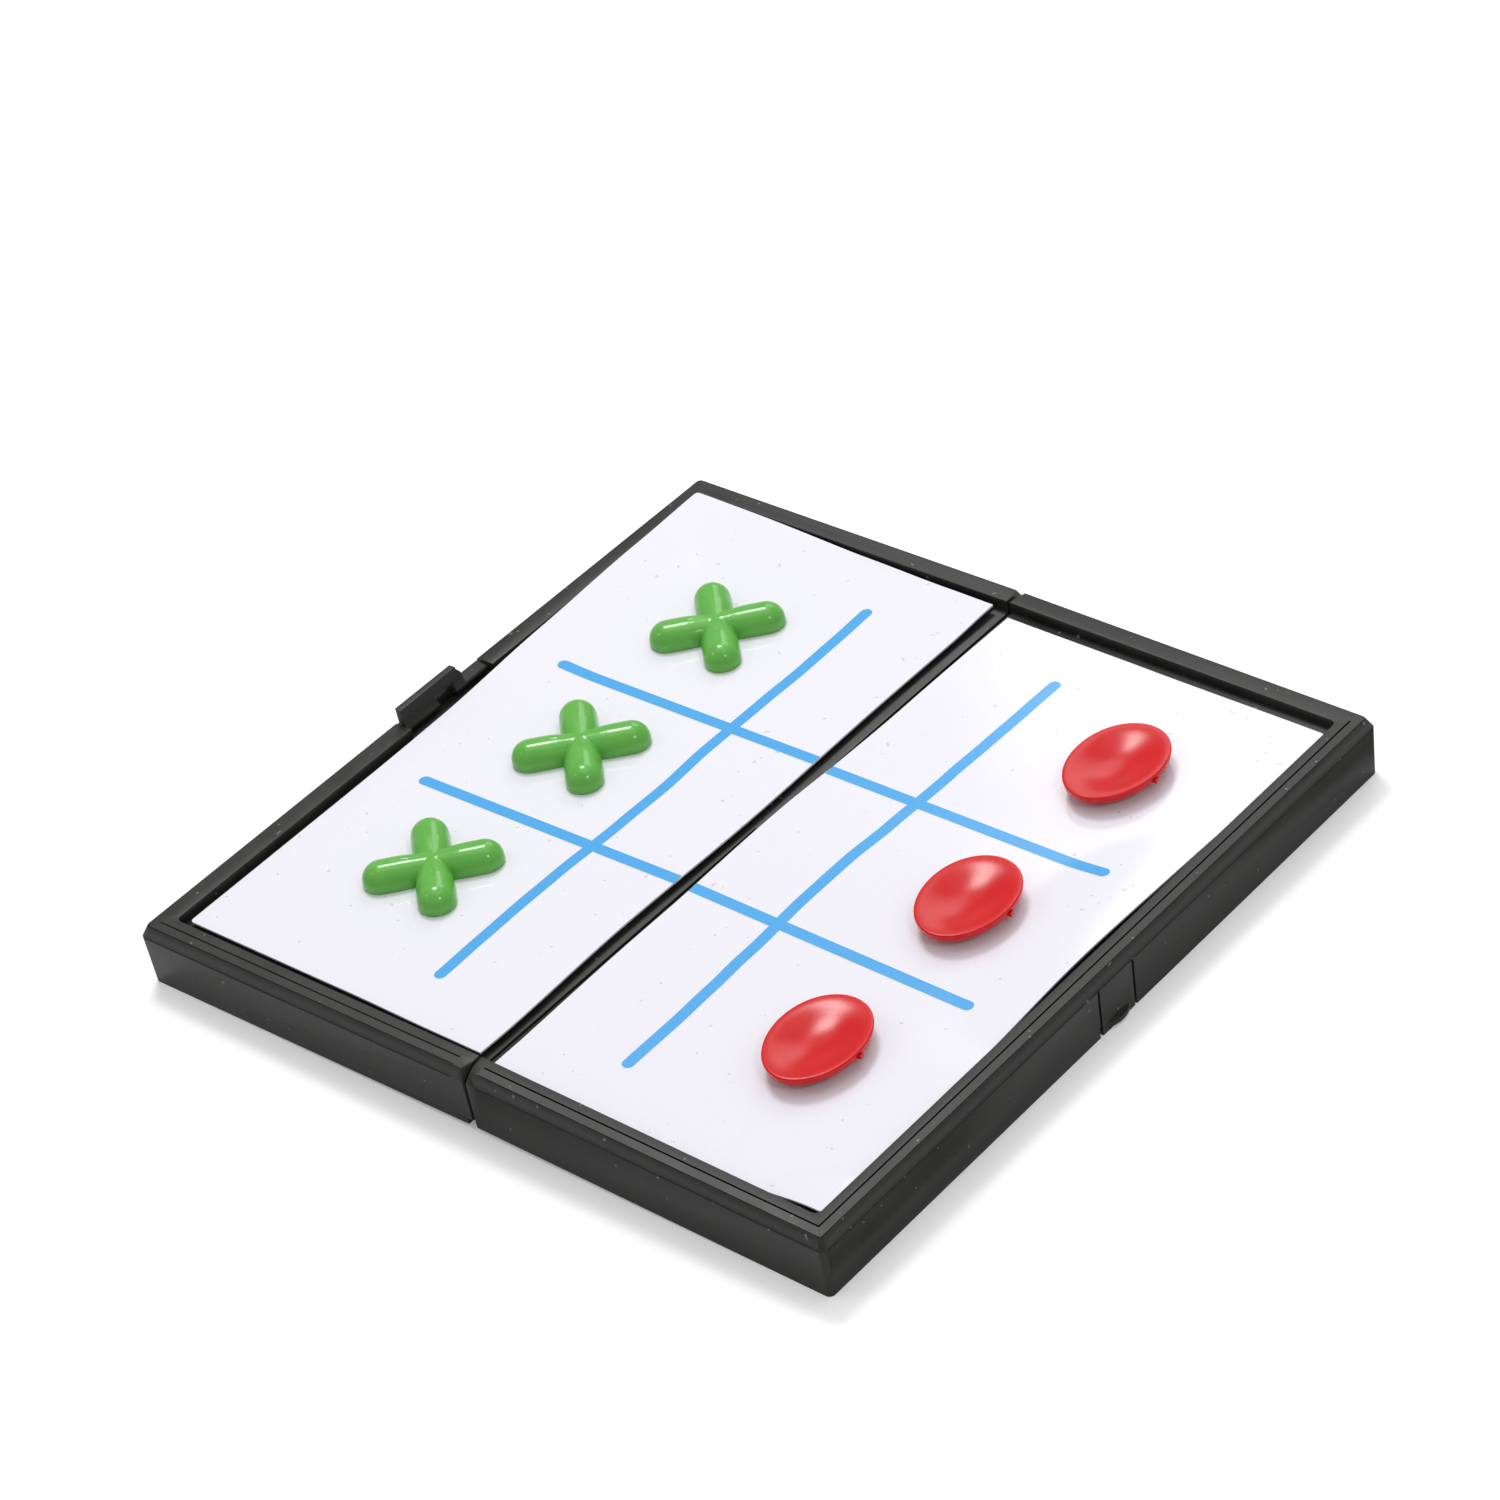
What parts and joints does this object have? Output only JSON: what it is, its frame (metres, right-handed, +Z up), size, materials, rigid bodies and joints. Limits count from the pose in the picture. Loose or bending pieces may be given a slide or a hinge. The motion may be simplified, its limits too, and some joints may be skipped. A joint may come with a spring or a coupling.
{
  "type": "tic-tac-toe game",
  "caption": "Folding magnetic noughts and crosses game: hinged plastic case with white steel play sheets, green crosses, red noughts and a swing clasp.",
  "frame": {"origin": "on the surface the open game stands on, under the fold and midway along it; the clasp's lugs make the left side about a millimetre longer, so the box's bottom centre is half a millimetre away", "axes": "+X across the fold towards the half with the noughts, +Y along the fold, +Z up from the play side"},
  "size_m": [0.1332, 0.1298, 0.0137],
  "materials": {
    "case_plastic": "satin black moulded plastic",
    "pin_steel": "drawn steel wire",
    "sheet_white": "gloss white printed steel sheet",
    "print_blue": "gloss blue ink",
    "cross_green": "gloss moulded plastic",
    "nought_red": "satin moulded plastic",
    "magnet_ferrite": "sintered ferrite"
  },
  "bodies": {
    "left_half": {"case_left": "case_plastic", "hinge_pin": "pin_steel", "play_sheet_left": "sheet_white", "grid_print_left": "print_blue"},
    "right_half": {"case_right": "case_plastic", "play_sheet_right": "sheet_white", "grid_print_right": "print_blue"},
    "clasp": {"clasp": "case_plastic"},
    "cross_far": {"cross_far": "cross_green", "cross_magnet_far": "magnet_ferrite"},
    "cross_middle": {"cross_middle": "cross_green", "cross_magnet_middle": "magnet_ferrite"},
    "cross_near": {"cross_near": "cross_green", "cross_magnet_near": "magnet_ferrite"},
    "nought_far": {"nought_far": "nought_red", "nought_magnet_far": "magnet_ferrite"},
    "nought_middle": {"nought_middle": "nought_red", "nought_magnet_middle": "magnet_ferrite"},
    "nought_near": {"nought_near": "nought_red", "nought_magnet_near": "magnet_ferrite"}
  },
  "joints": [
    {"name": "fold", "type": "hinge", "parent": "left_half", "child": "right_half", "pos_m": [0, 0, 0.00085], "axis": [0, 1, 0], "range_deg": [0, 178.3]},
    {"name": "clasp_swing", "type": "hinge", "parent": "left_half", "child": "clasp", "pos_m": [-0.06561, 0.0006, 0.0047], "axis": [0, -1, 0], "range_deg": [0, 180]},
    {"name": "cross_far_lift", "type": "slide", "parent": "left_half", "child": "cross_far", "axis": [-0.013, 0, 0.9999], "range_m": [0, 0.03]},
    {"name": "cross_middle_lift", "type": "slide", "parent": "left_half", "child": "cross_middle", "axis": [-0.013, 0, 0.9999], "range_m": [0, 0.03]},
    {"name": "cross_near_lift", "type": "slide", "parent": "left_half", "child": "cross_near", "axis": [-0.013, 0, 0.9999], "range_m": [0, 0.03]},
    {"name": "nought_far_lift", "type": "slide", "parent": "right_half", "child": "nought_far", "axis": [0.013, 0, 0.9999], "range_m": [0, 0.03]},
    {"name": "nought_middle_lift", "type": "slide", "parent": "right_half", "child": "nought_middle", "axis": [0.013, 0, 0.9999], "range_m": [0, 0.03]},
    {"name": "nought_near_lift", "type": "slide", "parent": "right_half", "child": "nought_near", "axis": [0.013, 0, 0.9999], "range_m": [0, 0.03]}
  ]
}
